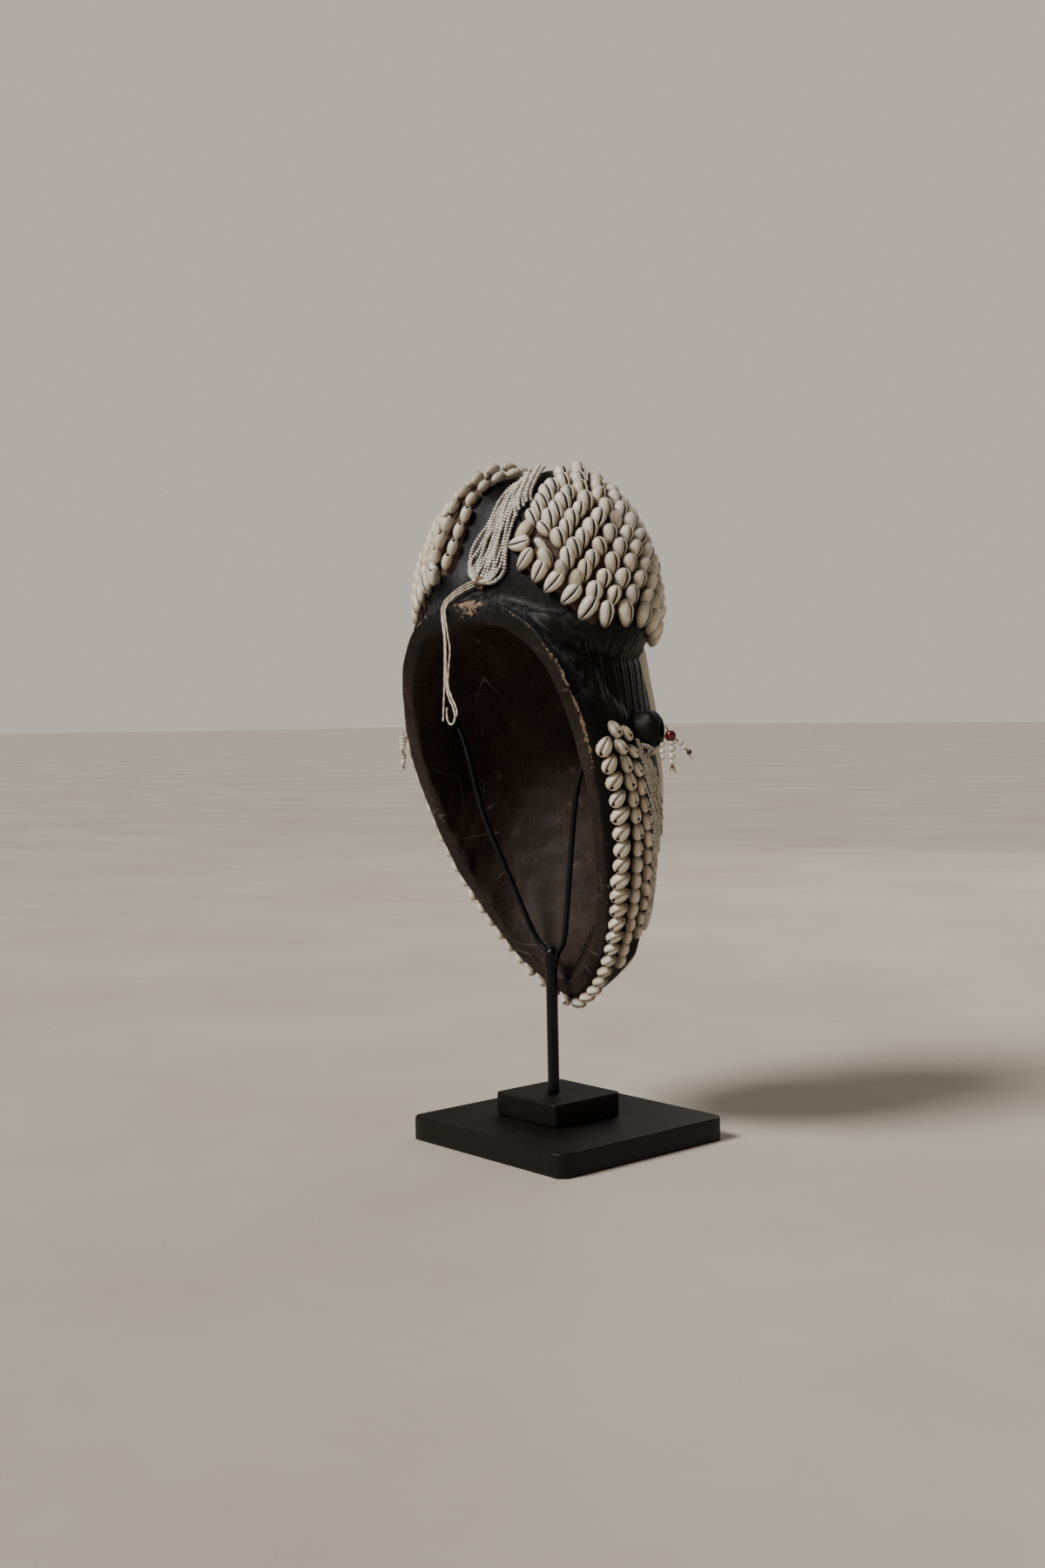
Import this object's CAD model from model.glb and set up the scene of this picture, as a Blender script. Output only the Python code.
import bpy
import numpy as np
from mathutils import Matrix, Vector


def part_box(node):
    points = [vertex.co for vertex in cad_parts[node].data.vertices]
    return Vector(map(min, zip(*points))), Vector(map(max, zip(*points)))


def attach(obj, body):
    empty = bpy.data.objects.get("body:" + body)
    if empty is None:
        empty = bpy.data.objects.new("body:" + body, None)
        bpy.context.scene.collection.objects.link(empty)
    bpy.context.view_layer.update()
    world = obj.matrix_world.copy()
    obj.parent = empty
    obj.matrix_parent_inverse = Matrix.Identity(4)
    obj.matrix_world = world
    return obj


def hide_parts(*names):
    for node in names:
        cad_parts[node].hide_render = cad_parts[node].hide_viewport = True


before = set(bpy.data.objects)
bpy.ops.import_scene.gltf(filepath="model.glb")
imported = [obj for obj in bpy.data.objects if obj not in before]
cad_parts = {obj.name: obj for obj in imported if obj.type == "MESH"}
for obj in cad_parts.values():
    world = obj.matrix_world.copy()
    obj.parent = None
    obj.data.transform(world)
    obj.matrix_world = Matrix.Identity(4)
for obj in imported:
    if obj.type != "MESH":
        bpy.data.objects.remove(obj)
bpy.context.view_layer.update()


# The photograph's view: behind the mask and to its proper right, a little over a metre off,
# level with the middle of the mask and tipped down slightly.
def stand_camera(place, heading, pitch, roll, lens):
    """Axes from a level heading: look tips down by pitch, then right and up turn by roll about look."""
    level = np.array([heading[0], heading[1], 0.0])
    level /= np.linalg.norm(level)
    right = np.array([level[1], -level[0], 0.0])
    upright = np.array([0.0, 0.0, 1.0])
    look = level * np.cos(pitch) - upright * np.sin(pitch)
    up = level * np.sin(pitch) + upright * np.cos(pitch)
    turned_right = np.cos(roll) * right + np.sin(roll) * up
    turned_up = -np.sin(roll) * right + np.cos(roll) * up
    data = bpy.data.cameras.new("photo_view")
    data.sensor_fit = "VERTICAL"
    data.sensor_height = 36
    data.lens = lens
    data.clip_start = 0.05
    data.clip_end = 60
    camera = bpy.data.objects.new("photo_view", data)
    bpy.context.scene.collection.objects.link(camera)
    turn = Matrix(np.stack([turned_right, turned_up, -look], 1).tolist())
    camera.matrix_world = Matrix.Translation(Vector(place)) @ turn.to_4x4()
    bpy.context.scene.camera = camera


stand_camera(
    place=(-0.8537, 0.7958, 0.2878), heading=(0.74742, -0.66435), pitch=0.04065, roll=-0.011, lens=40)


# The studio: a pale mottled floor that runs out of sight, an even pale room,
# one broad soft light from above and to the left of the view and a weak glow on the face's side.
class Output:
    """A node's output. A plain + - * or / between it and a number or another output adds one node."""

    def __init__(self, socket):
        self.socket = socket

    def __add__(self, other):
        return calculate("ADD", self, other)

    def __sub__(self, other):
        return calculate("SUBTRACT", self, other)

    def __rsub__(self, other):
        return calculate("SUBTRACT", other, self)

    def __mul__(self, other):
        return calculate("MULTIPLY", self, other)

    def __truediv__(self, other):
        return calculate("DIVIDE", self, other)


def tree_of(*values):
    """The node tree of the first output among some values."""
    return next(v.socket.id_data for v in values if isinstance(v, Output))


def feed(socket, value):
    """Join an output to a socket, or set the socket to a plain number or colour."""
    if isinstance(value, Output):
        socket.id_data.links.new(value.socket, socket)
    elif socket.type == "RGBA":
        socket.default_value = (*value, 1)
    else:
        socket.default_value = value


def set_up(node, **values):
    """Each value goes on the node's setting or socket of that name, with _ for a space."""
    for key, value in values.items():
        if hasattr(node, key):
            setattr(node, key, value)
        else:
            feed(node.inputs[key.replace("_", " ")], value)
    return node


def add_node(tree, kind, **values):
    """A new node of one kind, set up."""
    return set_up(tree.nodes.new(kind), **values)


def calculate(operation, *values, clamp=False):
    """One operation on outputs and numbers."""
    node = add_node(tree_of(*values), "ShaderNodeMath", operation=operation, use_clamp=clamp)
    for socket, value in zip(node.inputs, values):
        feed(socket, value)
    return Output(node.outputs[0])


def ramp(factor, *stops):
    """A colour read from (place, colour) stops by one output."""
    node = add_node(tree_of(factor), "ShaderNodeValToRGB", Fac=factor)
    while len(node.color_ramp.elements) < len(stops):
        node.color_ramp.elements.new(0.5)
    for element, (place, colour) in zip(node.color_ramp.elements, stops):
        element.position = place
        element.color = (*colour, 1)
    return Output(node.outputs["Color"])


def rising(factor, start, end):
    """0 up to the start, 1 from the end on, straight between."""
    return ramp(factor, (start, (0, 0, 0)), (end, (1, 1, 1)))


def falling(factor, start, end):
    """1 up to the start, 0 from the end on, straight between."""
    return ramp(factor, (start, (1, 1, 1)), (end, (0, 0, 0)))


def mix_colour(factor, first, second, blend="MIX"):
    """A mix of two colours, each an output or plain."""
    node = add_node(tree_of(factor, first, second), "ShaderNodeMix", data_type="RGBA", blend_type=blend)
    for place, value in ((0, factor), (6, first), (7, second)):
        feed(node.inputs[place], value)
    return Output(node.outputs[2])


def noise(place, scale, detail=4.0, roughness=0.55, distortion=0.0):
    """Clouds from 0 to 1, with a number of lumps a metre."""
    node = add_node(tree_of(place), "ShaderNodeTexNoise", Vector=place, Scale=scale, Detail=detail,
                    Roughness=roughness, Distortion=distortion)
    return Output(node.outputs["Fac"])


def object_place(tree):
    """Where a spot lies in its object's own axes."""
    return Output(add_node(tree, "ShaderNodeTexCoord").outputs["Object"])


def paint(name):
    """A new material with its shader."""
    material = bpy.data.materials.new(name)
    material.use_nodes = True
    return material, material.node_tree.nodes["Principled BSDF"]


def lay_floor(half_side):
    """A square sheet at the height of the plate's underside."""
    mesh = bpy.data.meshes.new("studio_floor")
    s = half_side
    mesh.from_pydata([(-s, -s, 0), (s, -s, 0), (s, s, 0), (-s, s, 0)], [], [(0, 1, 2, 3)])
    floor = bpy.data.objects.new("studio_floor", mesh)
    bpy.context.scene.collection.objects.link(floor)
    material, shader = paint("pale_plaster")
    clouds = noise(object_place(material.node_tree), 3.0, 6.0, 0.6)
    tone = ramp(clouds, (0.3, (0.47, 0.41, 0.34)), (0.7, (0.56, 0.505, 0.435)))
    set_up(shader, Base_Color=tone, Roughness=0.75)
    mesh.materials.append(material)


def add_light(kind, name, place, aim, strength, colour, **width):
    """A light turned from its place to face its aim; its width is a size in metres or an angle of sky."""
    data = bpy.data.lights.new(name, kind)
    data.energy = strength
    data.color = colour
    for key, value in width.items():
        setattr(data, key, value)
    light = bpy.data.objects.new(name, data)
    bpy.context.scene.collection.objects.link(light)
    light.location = place
    light.rotation_euler = (Vector(aim) - Vector(place)).to_track_quat("-Z", "Y").to_euler()


def pale_room(backdrop, fill):
    """An even room: the backdrop's tone where it is seen, a dimmer fill where it only lights."""
    room = bpy.data.worlds.new("room")
    room.use_nodes = True
    seen = Output(add_node(room.node_tree, "ShaderNodeLightPath").outputs["Is Camera Ray"])
    set_up(room.node_tree.nodes["Background"], Color=mix_colour(seen, fill, backdrop))
    bpy.context.scene.world = room


lay_floor(30)
add_light("SUN", "window", (0.38, 1.95, 1.85), (0, 0, 0), 3.9, (1.0, 0.97, 0.93), angle=np.radians(19))
add_light("AREA", "wall_glow", (0.5, -1.9, 1.3), (0, 0, 0.3), 11, (1.0, 0.94, 0.86), size=1.8)
pale_room(backdrop=(0.58, 0.53, 0.455), fill=(0.155, 0.137, 0.116))


# The tie: undyed cotton threads, twisted in pairs, that leave the foot of the bead band,
# cross the rim and hang inside the opening. Two end in tails and one in a drawn-up loop.
MM = 0.001
MASK_X = 6.6
THREAD_RADIUS = 0.65
THREAD_SIDES = 12


def travelled(line):
    """The distance run along a line at each of its points."""
    return np.concatenate([[0], np.cumsum(np.linalg.norm(np.diff(line, axis=0), axis=1))])


def read_line(line, run, at):
    """The values of a line's rows where the run along it is as far as at, straight between rows."""
    return np.stack([np.interp(at, run, column) for column in line.T], 1)


def even_path(line, count):
    """Places at equal distances along a line of points."""
    run = travelled(line)
    return read_line(line, run, np.linspace(0, run[-1], count))


def spline(points, count):
    """Catmull-Rom: between two points a cubic whose slopes are half the step between their neighbours."""
    p = np.asarray(points, float)
    p = np.vstack([2 * p[0] - p[1], p, 2 * p[-1] - p[-2]])
    t = np.linspace(0, len(p) - 3, count)
    i = np.minimum(t.astype(int), len(p) - 4)
    f = (t - i)[:, None]
    a, b, c, d = p[i], p[i + 1], p[i + 2], p[i + 3]
    return 0.5 * (2 * b + (c - a) * f + (2 * a - 5 * b + 4 * c - d) * f**2 + (3 * b - a - 3 * c + d) * f**3)


def curve_through(points, count):
    """The same curve with its places at equal distances."""
    return even_path(spline(points, count * 4), count)


def unit(vectors):
    """Each row at length one."""
    return vectors / np.maximum(np.linalg.norm(vectors, axis=-1, keepdims=True), 1e-12)


def round_steps(count):
    """Angles at even steps round a circle."""
    return np.arange(count) / count * 2 * np.pi


def ring_faces(rings, sides):
    """Quads between rings of corners, and a fan of triangles from each end's own point."""
    j = np.arange(sides)
    k = (j + 1) % sides
    first = np.arange(rings - 1)[:, None] * sides
    quads = np.stack([first + j, first + k, first + sides + k, first + sides + j], -1).reshape(-1, 4)
    start, end = rings * sides, rings * sides + 1
    last = (rings - 1) * sides
    fans = np.vstack([
        np.stack([np.full(sides, start), k, j], 1),
        np.stack([np.full(sides, end), last + j, last + k], 1),
    ])
    return quads, fans


def skin(rings, start, end):
    """A closed shape over rings of corners, each end drawn in to a point of its own."""
    return np.vstack([rings.reshape(-1, 3), start, end]), *ring_faces(*rings.shape[:2])


def tube(path, radii, up, sides):
    """Rings square to a path, with a point at both ends. radii is a number, one a ring, or one a corner."""
    along = unit(np.gradient(path, axis=0))
    side = unit(np.cross(along, up))[:, None]
    rise = np.cross(side, along[:, None])
    turn = round_steps(sides)[:, None]
    radii = np.asarray(radii, float)
    radii = np.broadcast_to(radii[:, None] if radii.ndim == 1 else radii, (len(path), sides))[..., None]
    rings = path[:, None] + radii * (side * np.cos(turn) + rise * np.sin(turn))
    return skin(rings, path[0], path[-1])


def facing_out(points, quads, fans):
    """The same shape with its faces turned round if the volume that they enclose is negative."""
    split = np.vstack([quads[:, [0, 1, 2]], quads[:, [0, 2, 3]], fans])
    a, b, c = (points[split[:, k]] for k in range(3))
    if np.einsum("ij,ij->", a, np.cross(b, c)) < 0:
        return points, quads[:, ::-1], fans[:, ::-1]
    return points, quads, fans


def joined(shapes):
    """Several shapes as one, each with its corners numbered after those of the shapes before it."""
    starts = np.cumsum([0] + [len(s[0]) for s in shapes[:-1]])
    quads, fans = (np.vstack([s[k] + n for s, n in zip(shapes, starts)]) for k in (1, 2))
    return np.vstack([s[0] for s in shapes]), quads, fans


def make_piece(name, shape, material, replaces=(), marks=None):
    """A smooth mesh from a shape in millimetres about the mask's middle, with marks kept at its corners."""
    points, quads, fans = facing_out(*shape)
    row_points = (points + [MASK_X, 0, 0]) * MM
    corners = np.concatenate([quads.ravel(), fans.ravel()]).astype(np.int32)
    sizes = np.concatenate([np.full(len(quads), 4), np.full(len(fans), 3)])
    starts = np.concatenate([[0], np.cumsum(sizes)[:-1]]).astype(np.int32)
    mesh = bpy.data.meshes.new(name)
    mesh.vertices.add(len(row_points))
    mesh.vertices.foreach_set("co", row_points.ravel().astype(np.float32))
    mesh.loops.add(len(corners))
    mesh.loops.foreach_set("vertex_index", corners)
    mesh.polygons.add(len(sizes))
    mesh.polygons.foreach_set("loop_start", starts)
    mesh.update(calc_edges=True)
    mesh.polygons.foreach_set("use_smooth", np.ones(len(sizes), bool))
    for key, values in (marks or {}).items():
        values = np.asarray(values, np.float32)
        kind, word = ("FLOAT", "value") if values.ndim == 1 else ("FLOAT_VECTOR", "vector")
        mesh.attributes.new(key, kind, "POINT").data.foreach_set(word, values.ravel())
    mesh.materials.append(material)
    piece = bpy.data.objects.new(name, mesh)
    bpy.context.scene.collection.objects.link(piece)
    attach(piece, "root")
    if replaces:
        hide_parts(*replaces)
    return piece


def bump(height, strength, distance):
    """The shader's normal, tipped by the slope of a height."""
    node = add_node(tree_of(height), "ShaderNodeBump", Height=height, Strength=strength, Distance=distance)
    return Output(node.outputs["Normal"])


def mark(tree, name):
    """A mark on the mesh that is one number."""
    return Output(add_node(tree, "ShaderNodeAttribute", attribute_name=name).outputs["Fac"])


def cotton(name, light, dark):
    """Matte thread: fine fibres, slow stains, brown where it is soiled by hand, with a little sheen."""
    material, shader = paint(name)
    place = object_place(material.node_tree)
    stained = ramp(noise(place, 90, 4.0, 0.5), (0.35, dark), (0.62, light))
    soiled = mix_colour(mark(material.node_tree, "soil"), stained, (0.13, 0.075, 0.045))
    fibres = bump(noise(place, 1800, 3.0, 0.5), 0.5, 0.0002)
    set_up(shader, Base_Color=soiled, Roughness=0.9, Sheen_Weight=0.25, Normal=fibres)
    return material


def thread_pair(path, radius, pitch):
    """A two-ply strand: its section is a waisted oval that turns once in every pitch of its length."""
    waist, end_share = 0.58, 0.5
    phase = travelled(path)[:, None] / pitch * 2 * np.pi
    radii = radius * (waist + (1 - waist) * np.abs(np.cos(round_steps(THREAD_SIDES) - phase)) ** 1.2)
    radii[[0, -1]] *= end_share
    return tube(path, radii, up=(1, 0.2, 0.1), sides=THREAD_SIDES)


def hang_tie():
    """Each strand's route over the rim and down; neighbours lie a little over a strand's width apart."""
    places, pitch, between = 220, 13.0, 0.45
    over_rim = [
        (-7, 71.6, 373), (-2, 72.4, 371.5), (6, 74.6, 368.5),
        (12.5, 77.6, 364.5), (16.5, 80.9, 359.5), (17.8, 82.2, 353)]
    ends = [
        ("bare", [(17.2, 82.4, 335), (17.4, 82.4, 315), (18.2, 82.4, 300), (19.6, 82.4, 283)]),
        ("knot", [(15.6, 82.4, 335), (15.4, 82.4, 315), (15, 82.4, 304), (12.2, 82.6, 297.5),
                  (8.4, 82.6, 291.5), (6.9, 82.6, 285.5), (9.2, 82.6, 281.3), (13, 82.6, 281.9),
                  (15, 82.6, 286.5), (14.8, 82.6, 292)]),
        ("bare", [(12.6, 82.4, 338), (10.8, 82.4, 329), (12.6, 82.4, 316), (13.2, 82.4, 306),
                  (9.6, 82.8, 299), (4.6, 82.8, 291), (4.4, 82.8, 286)]),
    ]
    material = cotton("undyed_cotton", (0.80, 0.73, 0.60), (0.60, 0.51, 0.38))
    gap = 2 * THREAD_RADIUS + between
    turn = np.linspace(0, np.pi / 2, len(over_rim))
    soil = np.append(np.repeat(0.5 * np.linspace(1, 0, places) ** 4, THREAD_SIDES), [1, 0])
    for i, (far_end, end) in enumerate(ends):
        shift = (i - 1) * gap
        start = over_rim - shift * np.stack([np.sin(turn), 0 * turn, np.cos(turn)], 1)
        path = curve_through(np.vstack([start, np.add(end, [0, shift * 0.2, 0])]), places)
        shape = thread_pair(path, THREAD_RADIUS, pitch)
        strand = make_piece(f"tie_thread_{i + 1}", shape, material, [f"tie_strand_{i + 1}"],
                            {"soil": soil})


hang_tie()


# The stand's two boards: square blocks of smooth board with slightly eased edges,
# painted satin black by roller and rubbed a little at the corners.
def wear_group():
    """A worn surface: a base colour, and a dust tone and more roughness in clouds of specks."""
    group = bpy.data.node_groups.new("dusty_finish", "ShaderNodeTree")
    inputs = {"Base": "Color", "Dust": "Color", "Amount": "Float", "Scale": "Float", "Roughness": "Float"}
    outputs = {"Color": "Color", "Roughness": "Float", "Height": "Float"}
    for way, sockets in (("INPUT", inputs), ("OUTPUT", outputs)):
        for name, kind in sockets.items():
            group.interface.new_socket(name, in_out=way, socket_type=f"NodeSocket{kind}")
    given = {socket.name: Output(socket) for socket in group.nodes.new("NodeGroupInput").outputs}
    place = object_place(group)
    clouds = rising(noise(place, given["Scale"], 8.0, 0.62), 0.42, 0.72)
    specks = noise(place, given["Scale"] * 14, 4.0, 0.5)
    dusty = calculate("MULTIPLY", clouds * given["Amount"] * specks, 1.8, clamp=True)
    colour = mix_colour(dusty, given["Base"], given["Dust"])
    rough = calculate("MULTIPLY_ADD", dusty, 0.35, given["Roughness"], clamp=True)
    set_up(group.nodes.new("NodeGroupOutput"), Color=colour, Roughness=rough, Height=specks)
    return group


dusty_finish = wear_group()


def black_paint(name, base, dust, amount, roughness, bump_depth):
    """Satin black paint over a smooth ground, with thin dust and the faint stipple of a roller."""
    material, shader = paint(name)
    finish = add_node(material.node_tree, "ShaderNodeGroup", node_tree=dusty_finish, Base=base, Dust=dust,
                      Amount=amount, Scale=22, Roughness=roughness)
    colour, rough, height = (Output(finish.outputs[key]) for key in ("Color", "Roughness", "Height"))
    set_up(shader, Base_Color=colour, Roughness=rough, Specular_IOR_Level=0.24,
           Normal=bump(height, 0.35, bump_depth))
    return material


def board(low, high, easing):
    """Rounded-square rings from the bottom to the top, drawn in at both rims by a quarter circle."""
    sides = 96
    half = (high - low) / 2
    corner, flat = easing * 1.2, half[0] * 0.5
    arc = np.linspace(0, np.pi / 2, 5)
    early, late = easing * (1 - np.cos(arc)), easing * (1 - np.sin(arc))
    inset = np.concatenate([[flat], late, early, [flat]])
    rise = np.concatenate([[-half[2]], early - half[2], half[2] - late, [half[2]]])
    turn = round_steps(sides) + np.pi / sides
    outline = np.stack([np.cos(turn), np.sin(turn)], 1)
    outline /= np.abs(outline).max(1, keepdims=True)
    size = (half[:2] - inset[:, None])[:, None]
    square = outline[None] * size
    core = np.clip(square, corner - size, size - corner)
    over = square - core
    length = np.maximum(np.linalg.norm(over, axis=-1, keepdims=True), 1e-9)
    rounded = core + over * np.minimum(corner / length, 1)
    rings = np.concatenate([rounded, np.broadcast_to(rise[:, None, None], (len(rise), sides, 1))], -1)
    middle = (low + high) / 2
    return skin(rings + middle, middle - [0, 0, half[2]], middle + [0, 0, half[2]])


def node_box(node):
    """A node's corners in millimetres about the mask's middle."""
    low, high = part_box(node)
    return np.array(low) / MM - [MASK_X, 0, 0], np.array(high) / MM - [MASK_X, 0, 0]


def make_boards():
    """Each board takes the place and size of its solid."""
    material = black_paint("black_board", (0.0024, 0.0024, 0.0022), (0.016, 0.0145, 0.012), 0.3, 0.42, 0.0003)
    for node in ("base_plate", "base_block"):
        piece = make_piece(f"black_{node}", board(*node_box(node), 1.1), material, [node])
        piece.modifiers.new("flat_faces", "WEIGHTED_NORMAL").keep_sharp = True


make_boards()


# The support: a round steel rod with two bent wires welded to its top, all painted black.
# The wires follow the inside of the cheeks and turn out to press on the wall of the hollow.
ROD_RADIUS, WIRE_RADIUS = 3.9, 2.0
ROD_TOP = (1.0, 6.0, 125.0)


def smooth_step(start, end, at):
    """0 before the start, 1 after the end, 3t^2 - 2t^3 between."""
    t = np.clip((at - start) / (end - start), 0, 1)
    return t * t * (3 - 2 * t)


def weld_bead(centre, radii, seed):
    """A lumpy ball: its radius swells and sinks with three slow waves over its surface."""
    rings, sides = 26, 32
    up = np.linspace(0.02, np.pi - 0.02, rings)[:, None]
    turn = round_steps(sides)
    waves = np.random.default_rng(seed).uniform(0, 2 * np.pi, 3)
    swell = 1 + 0.06 * np.sin(3 * turn + waves[0] + 2 * up) + 0.05 * np.sin(5 * up + waves[1])
    swell = swell + 0.03 * np.sin(7 * turn - 4 * up + waves[2])
    ball = swell[..., None] * np.stack(
        [np.sin(up) * np.cos(turn), np.sin(up) * np.sin(turn), np.cos(up) * np.ones_like(turn)], -1)
    pole = np.array([0, 0, radii[2]])
    return skin(ball * radii + centre, centre + pole, centre - pole)


def make_fork():
    """Rod, weld and two wires as tubes along the routes that the solid takes."""
    places, weld_z, lean_from, lean = 150, 118, 126, 0.24
    foot_z = float(node_box("support_fork")[0][2])
    rod_line = even_path(np.array([[-0.2, 6, foot_z], ROD_TOP]), 40)
    shapes = [tube(rod_line, ROD_RADIUS, up=(0, 1, 0), sides=36)]
    start = [(2, weld_z), (6, 127), (12, 133), (18, 145), (31, 181), (44, 217)]
    right = start + [(52, 236), (58, 247), (65, 256), (74, 261)]
    left = start + [(54, 247), (61, 265), (66.5, 275), (72.3, 280.7)]
    for side, route, lean_top in ((-1, right, 261), (1, left, 226)):
        spread, rise = np.array(route, float).T
        x = side * spread + ROD_TOP[0] * smooth_step(250, weld_z, rise)
        y = 5 + lean * np.clip(rise - lean_from, 0, lean_top - lean_from)
        path = curve_through(np.stack([x, y, rise], 1), places)
        radii = np.full(places, WIRE_RADIUS)
        radii[-3:] *= [0.96, 0.85, 0.55]
        shapes.append(tube(path, radii, up=(0, 1, 0), sides=16))
    shapes.append(weld_bead(np.array([ROD_TOP[0], 6, 122.5]), np.array([5.0, 4.8, 8.2]), 4))
    steel = black_paint("black_steel", (0.0024, 0.0029, 0.0027), (0.03, 0.026, 0.022), 0.2, 0.34, 0.00015)
    make_piece("painted_fork", joined([facing_out(*s) for s in shapes]), steel, ["support_fork"])


make_fork()


# The carving: one block of dark wood worked into face, ears, temple hair, collar and a two-lobed
# head of hair, and gouged hollow from behind. It is blackened outside, brown and tool-marked inside,
# painted pale on the face and worn to bare wood along the rim.
EYE_POINT = np.array([0.0, 18.0, 240.0])
RIM_MIDDLE_Z = 252.0
RIM_BACK, RIM_LEAN, RIM_BEND = 51.4, 0.322, 0.00045
RIM_HALF_WIDTH, RIM_ABOVE, RIM_BELOW = 89.0, 105.0, 156.0
RIM_WALL, FACE_WALL = 11.0, 16.0
COLLAR_DEPTH, COLLAR_CHIN_DEPTH = 34.0, 22.0
FLARE_ALONG, FLARE_ASIDE, FLARE_ABOVE, FLARE_BELOW = 30, 4, 16, 1
HEAD_HALF_WIDTH = [
    (97, 4), (105, 20), (115, 30), (130, 43), (145, 56), (165, 69), (190, 80), (215, 87),
    (240, 91), (265, 92), (285, 90), (305, 86), (325, 82), (345, 80), (370, 76), (400, 60)]
HEAD_FRONT = [
    (97, -14), (105, -20), (115, -24), (130, -31), (160, -42), (190, -49),
    (236, -54), (280, -52), (320, -46), (345, -41), (370, -34), (400, -20)]
DOME_CENTRE_Y, DOME_CENTRE_Z = 19.6, 350.0
DOME_HALF_WIDTH, DOME_HALF_DEPTH, DOME_ABOVE, DOME_BELOW = 93, 58, 99.0, 60.0
VALLEY_DEPTH = [(-20, 0), (5, 1), (25, 8), (45, 14), (60, 14), (80, 10), (100, 8), (140, 6), (175, 0)]
VALLEY_HALF_WIDTH = [(-20, 24), (12, 24), (40, 22), (70, 17), (100, 15), (140, 14)]
FLUTE_ANGLE, FLUTE_DEPTH = 3.8, 0.15
EAR_KNOB = ((95, 8.5, 276), (10, 10, 13))
EAR_BOWL = ((106.5, 4.0, 277), (6.5, 5.0, 8.5))
EYE_X, EYE_CORNER_Z, EYE_HALF_WIDTH, EYE_SAG = 38.0, 238.5, 17, 3.0
BROW_X, BROW_Z, BROW_BEND, BROW_RADIUS = 34, 268, 95, 4.6
BROW_FROM, BROW_TO = 9, 66
NOSE_BRIDGE, NOSE_SLOPE = ((0, -53, 218), (6.5, 9, 36)), 0.25
UPPER_LIP = ((6.5, -39.5, 160.5), (15, 9.5, 5.6))
LOWER_LIP = ((0, -36.5, 150.5), (16, 9.5, 6.2))
FACE_LUMPS = [
    ((0, -57, 190), (8.5, 12, 8.5)), ((8.5, -51.5, 187), (7, 9.5, 6.5)), ((EYE_X, -41, 239), (18, 9, 9)),
    UPPER_LIP, LOWER_LIP, ((0, -26, 120), (20, 15, 15))]
PAINT_FROM = [(97, 14), (115, 20), (135, 32), (150, 42), (165, 50), (200, 58), (260, 60), (300, 70)]
SPOKES, LIP = 420, 2.4
FACE_RINGS, HAIR_RINGS, EDGE_RINGS, LIP_RINGS, INNER_RINGS = 78, 49, 13, 5, 52


def read(table, at):
    """The value of a table of (place, value) pairs at each place, on straight lines between pairs."""
    table = np.asarray(table, float)
    return np.interp(at, table[:, 0], table[:, 1])


def read_smooth(table, at):
    """The same table read at five places 3 mm apart, weighted 1, 3, 4, 3, 1."""
    return sum(w * read(table, at + (i - 2) * 3) for i, w in enumerate([1, 3, 4, 3, 1])) / 12


def smooth_min(a, b, blend):
    """The lesser of two fields, rounded by a parabola where they differ by less than the blend."""
    h = np.clip(0.5 + 0.5 * (b - a) / blend, 0, 1)
    return b + (a - b) * h - blend * h * (1 - h)


def bell(distance, width, power=2):
    """1 in the middle and less on both sides: e to minus the power of the distance over the width."""
    return np.exp(-(np.abs(distance) / width) ** power)


def band(start, full, fade, end, at):
    """0 outside start and end, 1 from full to fade."""
    return smooth_step(start, full, at) * smooth_step(end, fade, at)


def rim_back(z):
    """How far back the rim lies at a height: a shallow parabola that leans back as it rises."""
    d = z - RIM_MIDDLE_Z
    return RIM_BACK + RIM_LEAN * d - RIM_BEND * d * d


def oval(x, z, half_width, above, below):
    """An egg's measure: the power mean of x and z over the radii, 1 on the edge, more pointed below."""
    d = z - RIM_MIDDLE_Z
    power = np.where(d > 0, 2.5, 1.7)
    radius = np.where(d > 0, above, below)
    return ((np.abs(x) / half_width) ** power + (np.abs(d) / radius) ** power) ** (1 / power)


def ellipsoid(x, y, z, centre, radii):
    """Distance outside an ellipsoid, near its surface: k(k - 1) over the length of k's slope."""
    scaled = [(v - c) / r for v, c, r in zip((x, y, z), centre, radii)]
    k = np.sqrt(sum(s * s for s in scaled))
    slope = np.sqrt(sum((s / r) ** 2 for s, r in zip(scaled, radii))) + 1e-9
    return k * (k - 1) / slope


def collar(x, y, z):
    """The thick border before the rim: an egg that widens forward, cut off at its depth, less at the chin."""
    forward = rim_back(z) - y
    p = np.clip(forward / FLARE_ALONG, 0, 1)
    flare = p * (2 - p)
    egg = oval(x, z, RIM_HALF_WIDTH + FLARE_ASIDE * flare, RIM_ABOVE + FLARE_ABOVE * flare,
               RIM_BELOW + FLARE_BELOW * flare)
    depth = COLLAR_CHIN_DEPTH + (COLLAR_DEPTH - COLLAR_CHIN_DEPTH) * smooth_step(100, 128, z)
    return -smooth_min(-(egg - 1) * 75, depth - forward, 6)


def head(x, y, z):
    """Face and cheeks: a rounded section at each height from the tables of half width and front."""
    width = read_smooth(HEAD_HALF_WIDTH, z)
    back = rim_back(z)
    widest = np.minimum(back - 26 * np.clip(width / 90, 0.1, 1), 30)
    depth = np.maximum(widest - read_smooth(HEAD_FRONT, z), 1)
    along = np.where(y < widest, (widest - y) / depth, (y - widest) / 70)
    section = ((np.abs(x) / width) ** 2.2 + np.abs(along) ** 2.2) ** (1 / 2.2)
    body = -smooth_min(-(section - 1) * np.minimum(width, 60), 352 - z, 10)
    return -smooth_min(-body, back - 6 - y, 6)


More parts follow.
